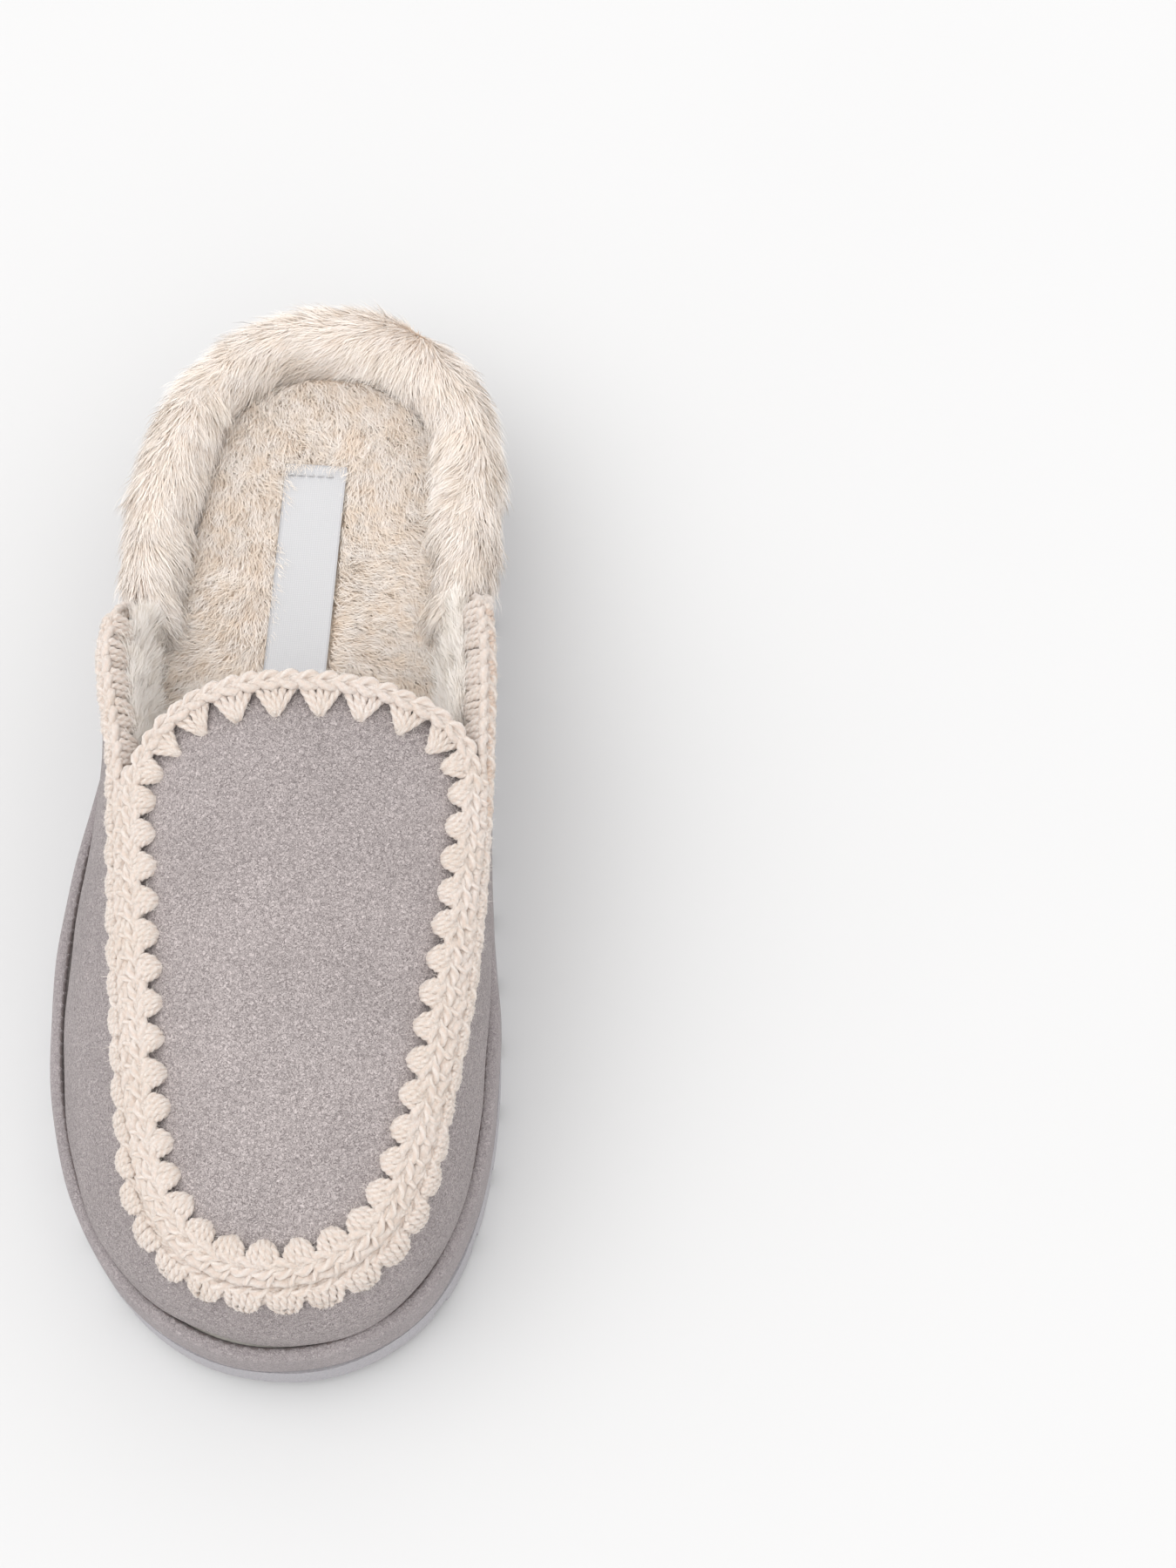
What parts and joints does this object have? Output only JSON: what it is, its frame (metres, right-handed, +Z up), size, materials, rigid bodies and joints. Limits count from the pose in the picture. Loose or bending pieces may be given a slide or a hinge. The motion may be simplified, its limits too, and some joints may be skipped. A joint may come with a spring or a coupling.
{
  "type": "house slipper",
  "caption": "Backless platform house slipper for a right foot, with a moccasin upper edged in crochet, a fur footbed and a fur roll round the heel.",
  "frame": {"origin": "On the floor, under the middle of the sole's length and width.", "axes": "+Y points from toe to heel, +X to the big toe's side, +Z up. The sole stands on the plane z = 0."},
  "size_m": [0.1024, 0.252, 0.0791],
  "materials": {
    "outsole_rubber": "matte, finely textured",
    "midsole": "foam, hidden",
    "platform_suede": "suede nap",
    "board": "fibre board, hidden",
    "cushion": "open-cell foam, hidden",
    "footbed_pile": "deep curled pile",
    "label_satin": "woven satin, blank",
    "label_thread": "spun thread",
    "seam_thread": "spun thread",
    "upper_suede": "suede nap",
    "lining_pile": "deep curled pile",
    "stiffener": "hidden",
    "crochet_yarn": "soft twisted yarn",
    "collar_pile": "long silky pile"
  },
  "bodies": {
    "root": {"outsole": "outsole_rubber", "midsole_foam": "midsole", "platform_cover": "platform_suede", "insole_board": "board", "cushion_foam": "cushion", "footbed_fur": "footbed_pile", "label": "label_satin", "label_stitches": "label_thread", "seam_stitches": "seam_thread", "vamp_wall": "upper_suede", "vamp_wall_lining": "lining_pile", "toe_puff": "stiffener", "apron": "upper_suede", "apron_lining": "lining_pile", "apron_chain": "crochet_yarn", "apron_shells": "crochet_yarn", "wall_chain": "crochet_yarn", "wall_shells": "crochet_yarn", "joining_stitches": "crochet_yarn", "heel_collar": "collar_pile", "collar_foam": "cushion"}
  },
  "joints": []
}
